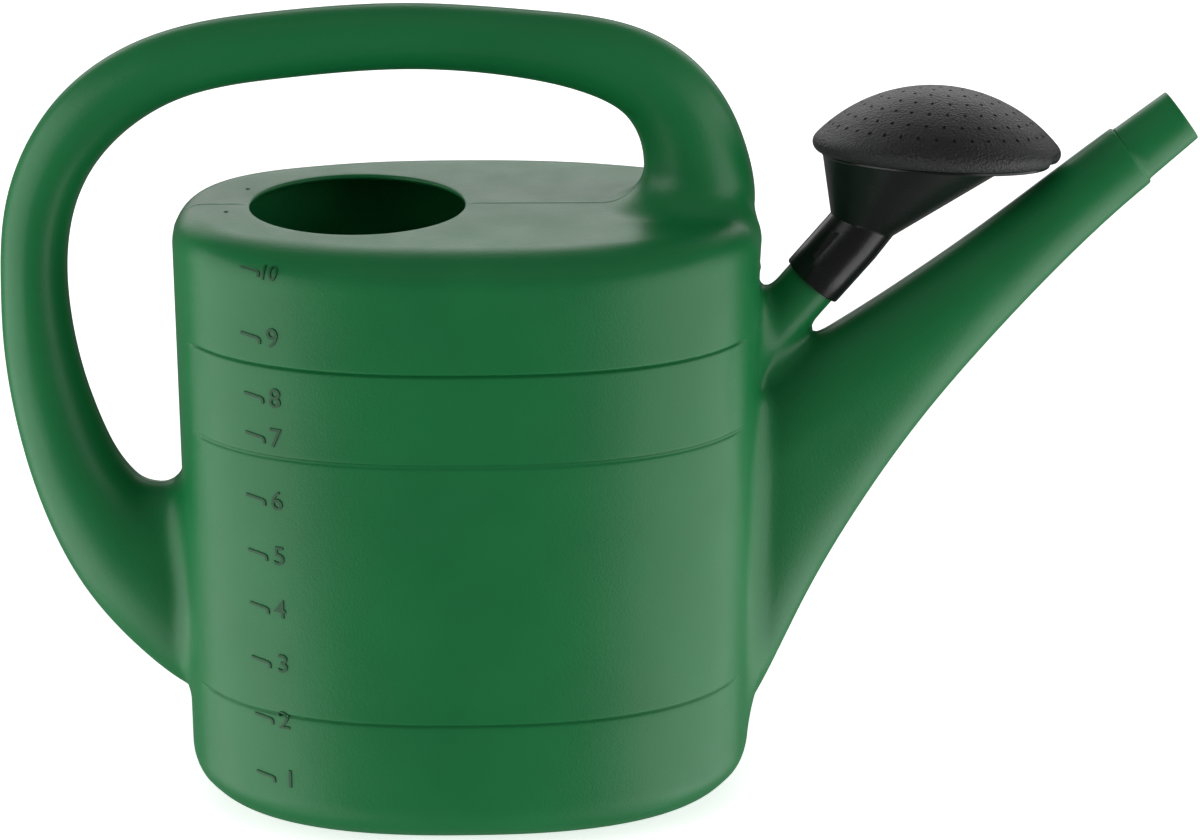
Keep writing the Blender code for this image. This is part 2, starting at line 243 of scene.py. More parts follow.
def natural_spline(rows, spacing):
    """Rows of numbers on a smooth curve through the given rows, about spacing apart."""
    rows = np.array(rows, float)
    middle = (rows[:, 0:2] + rows[:, 2:4]) / 2
    knots = np.append(0, np.cumsum(np.linalg.norm(np.diff(middle, axis=0), axis=1)))
    gaps = np.diff(knots)
    system, right = np.eye(len(knots)), np.zeros_like(rows)
    for i in range(1, len(knots) - 1):
        system[i, i - 1 : i + 2] = gaps[i - 1], 2 * (gaps[i - 1] + gaps[i]), gaps[i]
        ahead, behind = rows[i + 1] - rows[i], rows[i] - rows[i - 1]
        right[i] = 6 * (ahead / gaps[i] - behind / gaps[i - 1])
    bend = np.linalg.solve(system, right)
    stations = np.linspace(0, knots[-1], int(knots[-1] / spacing))
    k = np.clip(np.searchsorted(knots, stations, side="right") - 1, 0, len(gaps) - 1)
    gap = gaps[k][:, None]
    after = stations[:, None] - knots[k][:, None]
    before = gap - after
    curved = (bend[k] * before**3 + bend[k + 1] * after**3) / (6 * gap)
    straight = (rows[k] / gap - bend[k] * gap / 6) * before
    return curved + straight + (rows[k + 1] / gap - bend[k + 1] * gap / 6) * after


class Limb:
    """A limb whose middle line lies in the plane Y = 0, as maps over that plane.

    Each point of the plane lies on one of the straight lines that run across the limb. The maps
    hold how far along that line it is, how steeply that changes, and the section's own values.
    """

    STEP = 1.0
    MARGIN = 30.0  # how far the maps go past the limb
    NOWHERE = 8.0  # stands for points that no line across the limb passes

    def __init__(self, rows):
        rows = natural_spline(rows, 1.0)
        near, across = rows[:, 0:2], rows[:, 2:4] - rows[:, 0:2]
        length = np.linalg.norm(across, axis=1)
        edges = np.vstack([near, near + across])
        self.corner = edges.min(axis=0) - self.MARGIN
        size = ((edges.max(axis=0) + self.MARGIN - self.corner) / self.STEP).astype(int)
        height = self.corner[1] + self.STEP * np.arange(size[1])
        found = np.empty((4, *size))
        for column in range(size[0]):
            x = self.corner[0] + self.STEP * column
            away_x, away_z = x - near[:, 0], height[:, None] - near[:, 1]
            turn = across[:, 0] * away_z - across[:, 1] * away_x
            share = (across[:, 0] * away_x + across[:, 1] * away_z) / length**2
            crossed = turn[:, :-1] * turn[:, 1:] <= 0
            at = turn[:, :-1] / (turn[:, :-1] - turn[:, 1:] + 1e-12)
            between = share[:, :-1] * (1 - at) + share[:, 1:] * at
            off = np.where(crossed, np.abs(between - 0.5), np.inf)
            best = off.argmin(axis=1)
            line = np.arange(size[1])
            part = at[line, best][:, None]
            values = rows[best] * (1 - part) + rows[best + 1] * part
            widest = values[:, 5]
            lean = between[line, best] - widest
            beyond = lean > 0
            reach = np.where(beyond, 1 - widest, widest)
            lean = lean / reach
            nominal = 1 / (reach * length[best])
            lost = ~crossed[line, best]
            lean[lost] = self.NOWHERE
            power = np.where(beyond, values[:, 6], 2.0)
            found[:, column] = lean, nominal, values[:, 4], power
        slope = np.hypot(*np.gradient(found[0], self.STEP))
        found[1] = np.clip(slope, 0.5 * found[1], 2 * found[1])
        self.maps = found

    def distance(self, x, y, z):
        """Distance from the limb, from its maps blended between their four nearest points."""
        column = np.clip((x - self.corner[0]) / self.STEP, 0, self.maps.shape[1] - 1.001)
        row = np.clip((z - self.corner[1]) / self.STEP, 0, self.maps.shape[2] - 1.001)
        i, j = column.astype(int), row.astype(int)
        u, v = column - i, row - j
        low = self.maps[:, i, j] * (1 - u) + self.maps[:, i + 1, j] * u
        high = self.maps[:, i, j + 1] * (1 - u) + self.maps[:, i + 1, j + 1] * u
        lean, steep, depth, power = low * (1 - v) + high * v
        lean, over = np.abs(lean) + 1e-9, np.abs(y) / depth + 1e-9
        size = (lean**power + over**power) ** (1 / power)
        slope = np.hypot(
            (lean / size) ** (power - 1) * steep, (over / size) ** (power - 1) / depth
        )
        return (size - 1) / slope


def peg_distance(x, y, z):
    """Distance from the peg: a cylinder with rounded edges."""
    along = (x - PEG_MOUTH[0]) * PEG_AXIS.x + (z - PEG_MOUTH[1]) * PEG_AXIS.z
    across = (x - PEG_MOUTH[0]) * PEG_AXIS.z - (z - PEG_MOUTH[1]) * PEG_AXIS.x
    beside = np.hypot(across, y) - PEG_RADIUS + PEG_EDGE
    beyond = np.maximum(along - PEG_TIP, PEG_ROOT - along) + PEG_EDGE
    return round_corner(beside, beyond, PEG_EDGE)


def melt(one, other, radius):
    """The two shapes together, with a fillet of that radius between them."""
    near = np.hypot(np.maximum(radius - one, 0), np.maximum(radius - other, 0))
    return np.maximum(radius, np.minimum(one, other)) - near


def can_distance(x, y, z, steps=1.0, ridge=RIDGE_HEIGHT):
    """Distance from the can's outside: without steps and ridge it is the smoothed shape."""
    aside = np.abs(y)
    found = tank_distance(x, y, z, steps)
    found = melt(found, SPOUT.distance(x, y, z), ramp(*SPOUT_FILLETS, 8, 20, aside))
    found = melt(found, peg_distance(x, y, z), PEG_FILLET)
    rear = ramp(ramp(*REAR_FILLETS, 8, 18, aside), REAR_TOP_FILLET, 95, 130, z)
    front = ramp(FRONT_BACK_FILLET, ramp(*FRONT_FILLETS, 4, 18, aside), 85, 112, x)
    found = melt(found, HANDLE.distance(x, y, z), np.where(x < 0, rear, front))
    return found - ridge * np.exp(-((y / RIDGE_WIDTH) ** 2))


def gradient(points, field, step=0.05):
    """The field's slope at each point."""
    slope = np.empty_like(points)
    for axis in range(3):
        shift = np.zeros(3)
        shift[axis] = step
        slope[:, axis] = field(*(points + shift).T) - field(*(points - shift).T)
    return slope / (2 * step)


LEAST_SLOPE = 0.2  # squared: where fields meet, the slope can vanish
LONGEST_MOVE = 2.0


def settle(points, field, level=0.0, rounds=3):
    """Moves points along the field's slope until they lie at one level of it."""
    for _ in range(rounds):
        slope = gradient(points, field)
        size = np.maximum((slope**2).sum(axis=1), LEAST_SLOPE)
        move = slope * ((field(*points.T) - level) / size)[:, None]
        length = np.linalg.norm(move, axis=1, keepdims=True)
        points = points - move * np.minimum(1, LONGEST_MOVE / np.maximum(length, 1e-9))
    return points


HANDLE = Limb(HANDLE_ROWS)
SPOUT = Limb(SPOUT_ROWS)


# ---------------------------------------------------------------- the can's surface


def grid_lines(low, high, step, close_ups):
    """Lines step apart, and closer together inside each (low, high, step) close-up."""
    lines = np.arange(low, high + step, step)
    for start, end, fine in close_ups:
        lines = lines[(lines < start - fine / 2) | (lines > end + fine / 2)]
        lines = np.append(lines, np.arange(start, end + fine / 2, fine))
    return np.sort(lines)


def surface_net(axes, values):
    """Quads through the cells of a grid where the field changes sign."""
    shape = values.shape
    cells, places = [], []
    for axis in range(3):
        low = np.moveaxis(values, axis, 0)[:-1]
        high = np.moveaxis(values, axis, 0)[1:]
        crossing = np.nonzero((low < 0) != (high < 0))
        start, end = low[crossing], high[crossing]
        order = [axis] + [k for k in range(3) if k != axis]
        index = np.empty((len(start), 3), int)
        for k, found in zip(order, crossing):
            index[:, k] = found
        place = np.stack([axes[k][index[:, k]] for k in range(3)], axis=1)
        step = axes[axis][index[:, axis] + 1] - axes[axis][index[:, axis]]
        place[:, axis] += step * start / (start - end)
        one, two = (axis + 1) % 3, (axis + 2) % 3
        quad = []
        for back_one, back_two in ((1, 1), (0, 1), (0, 0), (1, 0)):
            cell = index.copy()
            cell[:, one] -= back_one
            cell[:, two] -= back_two
            quad.append(np.ravel_multi_index(cell.T, shape))
        quad = np.stack(quad, axis=1)
        flipped = start >= 0
        quad[flipped] = quad[flipped][:, ::-1]
        cells.append(quad)
        places.append(np.repeat(place, 4, axis=0))
    cells, places = np.vstack(cells), np.vstack(places)
    _, vertex, count = np.unique(cells.ravel(), return_inverse=True, return_counts=True)
    total = [np.bincount(vertex, weights=places[:, k]) for k in range(3)]
    return np.stack(total, axis=1) / count[:, None], vertex.reshape(-1, 4)


def border_loop(quads):
    """The vertices round the one hole in a mesh, in the order that its faces go past them."""
    edges = np.vstack([quads[:, [k, (k + 1) % 4]] for k in range(4)])
    key = edges[:, 0] * (quads.max() + 1) + edges[:, 1]
    back = edges[:, 1] * (quads.max() + 1) + edges[:, 0]
    lone = edges[~np.isin(key, back)]
    following = dict(lone.tolist())
    loop = [int(lone[0, 0])]
    while following[loop[-1]] != loop[0]:
        loop.append(following[loop[-1]])
    return np.array(loop)


def even_out(angles, rounds=6):
    """Angles round a loop, spread more evenly."""
    angles = np.unwrap(angles)
    turn = math.copysign(2 * math.pi, angles[-1] - angles[0])
    for _ in range(rounds):
        before = np.append(angles[-1] - turn, angles[:-1])
        after = np.append(angles[1:], angles[0] + turn)
        angles = (before + 2 * angles + after) / 4
    return angles


def filler_ring(angles, radius, z):
    """A ring round the filler's axis."""
    x = FILLER_X + radius * np.cos(angles)
    return np.stack([x, radius * np.sin(angles), np.full(len(angles), z)], axis=1)


def spout_frame(row):
    """Centre, direction across, direction along, half height and half width of a spout section."""
    near, far = np.array(row[0:2], float), np.array(row[2:4], float)
    across = (far - near) / np.linalg.norm(far - near)
    along = np.array([-across[1], across[0]])
    return (near + far) / 2, across, along, np.linalg.norm(far - near) / 2, row[4]


def spout_ring(angles, row, shrink=0.0, forward=0.0):
    """The outline of a spout section, made smaller and moved forward along the spout."""
    centre, across, along, half_height, half_width = spout_frame(row)
    line = centre + along * forward
    plane = line + np.outer((half_height - shrink) * np.cos(angles), across)
    return np.stack([plane[:, 0], (half_width - shrink) * np.sin(angles), plane[:, 1]], axis=1)


def blended(row, other, share):
    return np.array(row) * (1 - share) + np.array(other) * share


def filler_rings(angles):
    """The filler's rounded edge and its rim, from outside to inside."""
    rings = []
    for turn in np.linspace(0, math.pi / 2, 5)[1:]:
        radius = FILLER_RADIUS + FILLER_EDGE * (1 - math.sin(turn))
        drop = FILLER_EDGE * (1 - math.cos(turn))
        rings.append(filler_ring(angles, radius, TANK_HEIGHT - drop))
    rings.append(filler_ring(angles, FILLER_RADIUS, TANK_HEIGHT - WALL + 0.3))
    rings.append(filler_ring(angles, FILLER_RADIUS + 0.3, TANK_HEIGHT - WALL))
    return rings


def collar_rings(angles):
    """The spout's end: rounded shoulder, collar, lip, and back along the bore."""
    shoulder = SPOUT_ROWS[SHOULDER_ROW]
    lip = 0.7
    rings = []
    for turn in np.linspace(0, math.pi / 2, 5)[1:]:
        shrink = SHOULDER_EDGE * (1 - math.cos(turn))
        forward = SHOULDER_EDGE * math.sin(turn) - SHOULDER_EDGE
        rings.append(spout_ring(angles, shoulder, shrink, forward))
    rings.append(spout_ring(angles, COLLAR_START, -0.25, 0.15))
    rings.append(spout_ring(angles, COLLAR_START, 0.0, 0.5))
    for share in np.linspace(0, 1, 9)[1:-1]:
        rings.append(spout_ring(angles, blended(COLLAR_START, COLLAR_END, share)))
    for turn in np.linspace(0, math.pi, 7):
        shrink = WALL / 2 - WALL / 2 * math.cos(turn)
        rings.append(spout_ring(angles, COLLAR_END, shrink, lip * math.sin(turn) - lip))
    for share in np.linspace(1, 0, 7)[1:]:
        rings.append(spout_ring(angles, blended(COLLAR_START, COLLAR_END, share), WALL))
    return rings


def open_hole(points, quads, beyond, angle_of, rings_of):
    """Drops the faces past an opening's edge and slides the border's vertices on to that edge.

    Returns the faces that stay, the border, and the further rings of the opening.
    """
    gone = beyond(points[quads].mean(axis=1)) > 0
    loop = border_loop(quads[gone])[::-1]
    rings = rings_of(even_out(angle_of(points[loop])))
    points[loop] = rings[0]
    return quads[~gone], loop, rings[1:]


def bridge(loop, rings, count, inner_loop):
    """Quads from a border through new rings, whose vertices start at count, to another border."""
    rows = [loop]
    for new in rings:
        rows.append(np.arange(len(new)) + count)
        count += len(new)
    rows.append(inner_loop)
    quads = []
    for low, high in zip(rows, rows[1:]):
        quads.append(np.stack([np.roll(low, -1), low, high, np.roll(high, -1)], axis=1))
    return np.vstack(quads)


def filler_angle(points):
    return np.arctan2(points[:, 1], points[:, 0] - FILLER_X)


def spout_angle(points):
    centre, across, _, half_height, half_width = spout_frame(SPOUT_ROWS[SHOULDER_ROW])
    lean = (points[:, [0, 2]] - centre) @ across
    return np.arctan2(points[:, 1] / half_width, lean / half_height)


FILLER_CLEAR = 1.6  # the net stops this far before an opening; rings of points bridge the gap
SHOULDER_CLEAR = 2.2


def past_filler(points):
    """Positive where the tank's flat top has to make way for the filler."""
    flat = np.abs(points[:, 2] - TANK_HEIGHT) < 3
    inside = FILLER_RADIUS + FILLER_CLEAR - np.hypot(points[:, 0] - FILLER_X, points[:, 1])
    return np.where(flat, inside, -1)


def past_shoulder(points):
    """Positive beyond the place where the collar's shoulder takes over from the spout."""
    centre, _, along, _, _ = spout_frame(SPOUT_ROWS[SHOULDER_ROW])
    return (points[:, [0, 2]] - centre) @ along + SHOULDER_CLEAR


def filler_opening(angles):
    outermost = filler_ring(angles, FILLER_RADIUS + FILLER_EDGE, TANK_HEIGHT)
    return [outermost] + filler_rings(angles)


def spout_opening(angles):
    outermost = spout_ring(angles, SPOUT_ROWS[SHOULDER_ROW], 0.0, -SHOULDER_EDGE)
    return [outermost] + collar_rings(angles)


def smooth_can(x, y, z):
    """The can's field without bands, grooves and parting line."""
    return can_distance(x, y, z, steps=0.0, ridge=0.0)


def can_shell():
    """Points and quads of the whole moulding, and how many quads its outside has.

    The outside comes first, then the inside, then the filler's rim and the spout's end.
    """
    coarse = 2.0
    step_zones = [(z - 2.1, z + 2.1, 0.3) for z in (*BAND_Z, LOWER_STEP_Z)]
    ridge_zone = (-1.05, 1.05, 0.35)
    axes = (
        grid_lines(-212, 326, coarse, ()),
        grid_lines(-92, 92, coarse, [ridge_zone]),
        grid_lines(-4, 368, coarse, step_zones),
    )
    values = can_distance(
        axes[0][:, None, None], axes[1][None, :, None], axes[2][None, None, :]
    )
    points, quads = surface_net(axes, values)
    points = settle(points, can_distance)
    quads, rim, rim_rings = open_hole(points, quads, past_filler, filler_angle, filler_opening)
    quads, end, end_rings = open_hole(points, quads, past_shoulder, spout_angle, spout_opening)
    inside = settle(points, smooth_can, level=-SHELL_WALL)
    count = len(points)
    rings = rim_rings + end_rings
    faces = np.vstack(
        [
            quads,
            quads[:, ::-1] + count,
            bridge(rim, rim_rings, 2 * count, rim + count),
            bridge(end, end_rings, 2 * count + len(rim) * len(rim_rings), end + count),
        ]
    )
    points = np.vstack([points, inside, *rings])
    used, index = np.unique(faces, return_inverse=True)
    return points[used], index.reshape(-1, 4), len(quads)


# ---------------------------------------------------------------- meshes


def piece(name, points, faces, material, body, slot, *nodes, sharp=40, lining=None):
    """A named piece from points in millimetres round the tank's foot, riding on a CAD body.

    lining is (material, first face, last face) for the faces that have another material.
    """
    points = np.asarray(points, float) * MM + (TANK_X * MM, 0, 0)
    mesh = bpy.data.meshes.new(name)
    mesh.from_pydata(points, [], [list(map(int, face)) for face in faces])
    mesh.materials.append(material)
    if lining:
        mesh.materials.append(lining[0])
        index = np.zeros(len(mesh.polygons), np.int32)
        index[lining[1] : lining[2]] = 1
        mesh.polygons.foreach_set("material_index", index)
    mesh.validate()
    mesh.shade_smooth()
    mesh.set_sharp_from_angle(angle=math.radians(sharp))
    made = bpy.data.objects.new(name, mesh)
    bpy.context.scene.collection.objects.link(made)
    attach(made, body)
    if nodes:
        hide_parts(*nodes)
    return made


def placed(points, matrix):
    """Points moved from a local frame into the tank's frame."""
    turn, shift = np.array(matrix.to_3x3()), np.array(matrix.translation)
    return np.asarray(points, float) @ turn.T + shift


def loft(rings, closed_loop=True):
    """Points and quads through rings of equal length; closed_loop joins the last to the first."""
    count = len(rings[0])
    pairs = [(k, k + 1) for k in range(len(rings) - 1)]
    if closed_loop:
        pairs.append((len(rings) - 1, 0))
    here = np.arange(count)
    ahead = np.roll(here, -1)
    faces = []
    for row, other in pairs:
        low, high = row * count, other * count
        faces.append(np.stack([here + low, ahead + low, ahead + high, here + high], 1))
    return np.vstack(rings), np.vstack(faces)


def ring(radius, z, centre=0.0, sides=ROSE_SIDES):
    angles = np.arange(sides) * 2 * math.pi / sides
    return np.stack(
        [centre + radius * np.cos(angles), radius * np.sin(angles), np.full(sides, float(z))], 1
    )


# ---------------------------------------------------------------- litre marks

# Heights of the litre marks, from 1 to 10. They are not evenly spaced.
MARKS = (30.5, 58.8, 86.2, 111.9, 136.7, 162.1, 190.1, 207.9, 234.8, 264.0)
MARK_X = -85.0  # lengths along the wall count from here, on the tank's -Y side
NUMERAL_SIZE = 12.0
NUMERAL_RIGHT = 6.3  # where all numerals end, along the wall
NUMERAL_WIDEST = 8.3  # the 10 is narrowed to this
NUMERAL_DROP = 3.4  # its foot lies this far below the mark
NUMERAL_RISE = 0.5  # how far the marks stand out of the wall
NUMERAL_SINK = 0.6  # how deep they are rooted in it
# A tick's line: along the wall, and above its mark.
TICK = ((-11.5, 1.0), (-7.0, 0.5), (-3.2, 0.0), (-2.4, -0.5), (-2.2, -1.3), (-2.2, -2.6))
TICK_WIDTH = 1.15
BEND_STEP = 1.2  # the marks are cut this often, so that they follow the wall
MOULD_DOTS = ((-97.0, 24.0), (-104.0, -12.0))  # on the tank's top
DOT_SIDES = 16


def plan_line():
    """Points along the tank's plan on its -Y side, and their arc lengths from MARK_X."""
    x = np.linspace(-TANK_LENGTH / 2 + 0.5, 0, 2000)
    share = np.abs(2 * x / TANK_LENGTH) ** TANK_SQUARENESS
    y = -TANK_WIDTH / 2 * (1 - share) ** (1 / TANK_SQUARENESS)
    length = np.append(0, np.cumsum(np.hypot(np.diff(x), np.diff(y))))
    return x, y, length - np.interp(MARK_X, x, length)


def on_wall(flat):
    """Flat points (along the wall, height) moved on to the can's surface, with its normals."""
    x, y, length = plan_line()
    flat = np.asarray(flat, float)
    points = np.stack(
        [np.interp(flat[:, 0], length, x), np.interp(flat[:, 0], length, y), flat[:, 1]], 1
    )
    points = settle(points, smooth_can, rounds=5)
    points = settle(points, can_distance, rounds=3)
    normals = gradient(points, smooth_can)
    return points, normals / np.linalg.norm(normals, axis=1, keepdims=True)


def numeral(text):
    """A flat mesh of a number that stands on the X axis, in millimetres."""
    curve = bpy.data.curves.new("numeral", "FONT")
    curve.body = text
    curve.size = NUMERAL_SIZE
    curve.offset = 0.03
    made = bpy.data.objects.new("numeral", curve)
    bpy.context.scene.collection.objects.link(made)
    bpy.context.view_layer.update()
    flat = bmesh.new()
    flat.from_mesh(made.to_mesh())
    made.to_mesh_clear()
    bpy.data.objects.remove(made)
    bpy.data.curves.remove(curve)
    return flat


def add_ribbon(flat, line, width):
    """A flat strip of even width along a line of points."""
    line = np.array(line, float)
    ways = np.gradient(line, axis=0)
    sideways = np.stack([-ways[:, 1], ways[:, 0]], 1)
    sideways *= width / 2 / np.linalg.norm(sideways, axis=1, keepdims=True)
    low = [flat.verts.new((*point, 0)) for point in line - sideways]
    high = [flat.verts.new((*point, 0)) for point in line + sideways]
    for k in range(len(line) - 1):
        flat.faces.new((low[k], low[k + 1], high[k + 1], high[k]))


def litre_mark(number, height):
    """One numeral and the hooked tick beside it, flat: (along the wall, height)."""
    flat = numeral(str(number))
    bottom = height - NUMERAL_DROP
    right = max(vertex.co.x for vertex in flat.verts)
    narrow = min(1.0, NUMERAL_WIDEST / right)
    for vertex in flat.verts:
        x = NUMERAL_RIGHT + (vertex.co.x - right) * narrow
        vertex.co = (x, vertex.co.y + bottom, 0)
    add_ribbon(flat, [(x, height + z) for x, z in TICK], TICK_WIDTH)
    bmesh.ops.remove_doubles(flat, verts=flat.verts, dist=0.01)
    for cut in np.arange(bottom - 1, bottom + NUMERAL_SIZE, BEND_STEP):
        geometry = flat.verts[:] + flat.edges[:] + flat.faces[:]
        bmesh.ops.bisect_plane(flat, geom=geometry, plane_co=(0, cut, 0), plane_no=(0, 1, 0))
    return flat


def mould_dot(x, y):
    """Points and faces of a tiny raised dot on the tank's top."""
    profile = ((1.0, -0.4), (1.0, 0.15), (0.6, 0.35))
    points, faces = loft([ring(r, z, sides=DOT_SIDES) for r, z in profile], closed_loop=False)
    around = list(range(DOT_SIDES))
    top = [k + 2 * DOT_SIDES for k in around]
    return points + (x, y, TANK_HEIGHT), faces.tolist() + [top, around[::-1]]


def make_marks(material):
    """The litre scale and the mould's dots, raised on the can and rooted in it; their darker green
    is painted shade.
    """
    points, faces = [], []
    for number, height in enumerate(MARKS, start=1):
        flat = litre_mark(number, height)
        flat.verts.index_update()
        outline = [edge for edge in flat.edges if edge.is_boundary]
        here = np.array([vertex.co[:2] for vertex in flat.verts])
        cells = [[vertex.index for vertex in face.verts] for face in flat.faces]
        base, normals = on_wall(here)
        start, count = sum(map(len, points)), len(here)
        points += [base + normals * NUMERAL_RISE, base - normals * NUMERAL_SINK]
        faces += [[k + start for k in cell] for cell in cells]
        faces += [[k + start + count for k in cell[::-1]] for cell in cells]
        for edge in outline:
            loop = edge.link_loops[0]
            one, two = loop.vert.index + start, loop.link_loop_next.vert.index + start
            faces.append([two, one, one + count, two + count])
        flat.free()
    for x, y in MOULD_DOTS:
        start = sum(map(len, points))
        dot, cells = mould_dot(x, y)
        faces += [[k + start for k in cell] for cell in cells]
        points.append(dot)
    points = np.vstack(points)
    return piece("litre_marks", points, faces, material, "can", "green_plastic", sharp=30)


# ---------------------------------------------------------------- the rose

SOCKET_FRAME = (
    Matrix.Translation((PEG_MOUTH[0], 0, PEG_MOUTH[1]))
    @ Matrix.Rotation(math.atan2(PEG_AXIS.x, PEG_AXIS.z), 4, "Y")
    @ Matrix.Rotation(ROSE_TURNED, 4, "Z")
)
HEAD_FRAME = (
    SOCKET_FRAME
    @ Matrix.Translation((HEAD_CENTRE[0], 0, HEAD_CENTRE[1]))
    @ Matrix.Rotation(-HEAD_TILT, 4, "Y")
)
HEAD_IN_SOCKET = SOCKET_FRAME.inverted() @ HEAD_FRAME
RIB_ANGLE = -119.0  # round the sleeve, degrees
RIB_WIDTH = 6.0  # degrees
RIB_HEIGHT = 0.7  # in its middle
RIB_TILT = -0.23  # how its top slopes, millimetres per degree


def ribbed_ring(z):
    """A ring of the sleeve where the narrow rib runs along its side."""
    points = ring(1.0, z)
    angle = np.degrees(np.arctan2(points[:, 1], points[:, 0]))
    off = (angle - RIB_ANGLE + 180) % 360 - 180
    bulge = 1 - smoothstep(RIB_WIDTH / 2 - 0.5, RIB_WIDTH / 2 + 0.5, np.abs(off))
    points[:, :2] *= (SOCKET_RADIUS + bulge * (RIB_HEIGHT + RIB_TILT * off))[:, None]
    return points


def make_socket(material):
    """The sleeve: up its outside, past the rib, and back down its bore."""
    edge = 0.7
    inside = PEG_RADIUS + ROSE_PLAY
    end = SOCKET_SEAM - 0.02
    rings = [ring(SOCKET_RADIUS - edge, 0), ring(SOCKET_RADIUS - 0.2, 0.2)]
    rings += [ring(SOCKET_RADIUS, z) for z in (edge, 9.8)]
    rings += [ribbed_ring(z) for z in (10.4, 17, 24.4)]
    rings += [ring(SOCKET_RADIUS, z) for z in (25.0, end)]
    rings += [ring(inside, z) for z in (end, 0.4)]
    rings.append(ring(inside + 0.3, 0))
    points, faces = loft(rings)
    points = placed(points, SOCKET_FRAME)
    return piece("rose_sleeve", points, faces, material, "socket", "black_plastic", "rose_socket")


def neck_ring(shrink):
    """The slanted edge where the sleeve widens into the cone."""
    middle_x, half = (NECK_LEFT[0] + NECK_RIGHT[0]) / 2, (NECK_RIGHT[0] - NECK_LEFT[0]) / 2
    middle_z, rise = (NECK_LEFT[1] + NECK_RIGHT[1]) / 2, (NECK_RIGHT[1] - NECK_LEFT[1]) / 2
    points = ring(1.0, 0)
    across, beside = points[:, 0].copy(), points[:, 1].copy()
    points[:, 0] = middle_x + (half - shrink) * across
    points[:, 1] = (SOCKET_RADIUS - shrink) * beside
    points[:, 2] = middle_z + rise * across
    return points


def make_funnel(material):
    """The cone, its flange, the spigot with its snap bead, and back down the bore."""

    def rim(radius, z, x=0.0):
        return placed(ring(radius, z, x), HEAD_IN_SOCKET)

    neck, cone_top = neck_ring(0), rim(CONE_TOP_RADIUS, -FLANGE_DROP, CONE_TOP_X)
    bore_neck = neck_ring(ROSE_WALL)
    bore_top = rim(CONE_BORE_RADIUS, ROSE_WALL - FLANGE_DROP, CONE_BORE_X)
    seat_z = -LIP_DROP - ROSE_PLAY
    rings = [ring(SOCKET_RADIUS, SOCKET_SEAM)]
    rings += [neck * 0.97 + rings[0] * 0.03, neck, neck * 0.97 + cone_top * 0.03]
    rings += [neck * (1 - share) + cone_top * share for share in (0.08, 0.3, 0.5, 0.7, 0.9, 0.98)]
    rings += [cone_top, rim(CONE_TOP_RADIUS + 0.4, -FLANGE_DROP, CONE_TOP_X * 0.98)]
    rings += [rim(FLANGE_RADIUS - 0.4, -FLANGE_DROP), rim(FLANGE_RADIUS, -FLANGE_DROP + 0.35)]
    rings += [rim(FLANGE_RADIUS, seat_z), rim(SPIGOT_RADIUS, seat_z)]
    rings += [rim(SPIGOT_RADIUS, -3.6), rim(SPIGOT_RADIUS + 0.25, -3.0), rim(SPIGOT_RADIUS, -2.4)]
    rings += [rim(SPIGOT_RADIUS, SPIGOT_TOP - 0.4), rim(SPIGOT_RADIUS - 0.4, SPIGOT_TOP)]
    rings += [rim(SPIGOT_RADIUS - ROSE_WALL, SPIGOT_TOP)]
    rings += [rim(SPIGOT_RADIUS - ROSE_WALL, ROSE_WALL - FLANGE_DROP), bore_top]
    rings += [bore_neck * 0.5 + bore_top * 0.5, bore_neck]
    rings.append(ring(PEG_RADIUS + ROSE_PLAY, SOCKET_SEAM))
    points, faces = loft(rings)
    points = placed(points, SOCKET_FRAME)
    return piece("rose_cone", points, faces, material, "funnel", "black_plastic", "rose_funnel")


# Spray holes: rings of them, each with its radius and its number of holes.
HOLE_RINGS = ((4.4, 4), (10.5, 9), (18, 15), (26.3, 22), (34, 28), (41, 34), (46.9, 39))
HOLE_RADIUS = 0.8
HOLE_SIDES = 12
DRILLED_RADIUS = 48.9
DOME_SPHERE = (HEAD_RADIUS**2 + HEAD_RISE**2) / (2 * HEAD_RISE)
DOME_STEP = 2.4
NOTCH_ANGLE = -14.0  # where a screwdriver pries the face off, degrees
NOTCH_HALF = 7.0
NOTCH_DEPTH = 2.2


def dome_height(radius, shrink=0.0):
    """Height of the dome above its lip; shrink makes its sphere smaller."""
    return HEAD_RISE - DOME_SPHERE + np.sqrt((DOME_SPHERE - shrink) ** 2 - radius**2)


def spray_holes():
    """The holes' centres, flat, with each ring turned a little against the last."""
    holes = []
    for k, (radius, count) in enumerate(HOLE_RINGS):
        angles = 2 * math.pi * (np.arange(count) + 0.37 * k) / count
        holes.append(np.stack([radius * np.cos(angles), radius * np.sin(angles)], 1))
    return np.vstack(holes)


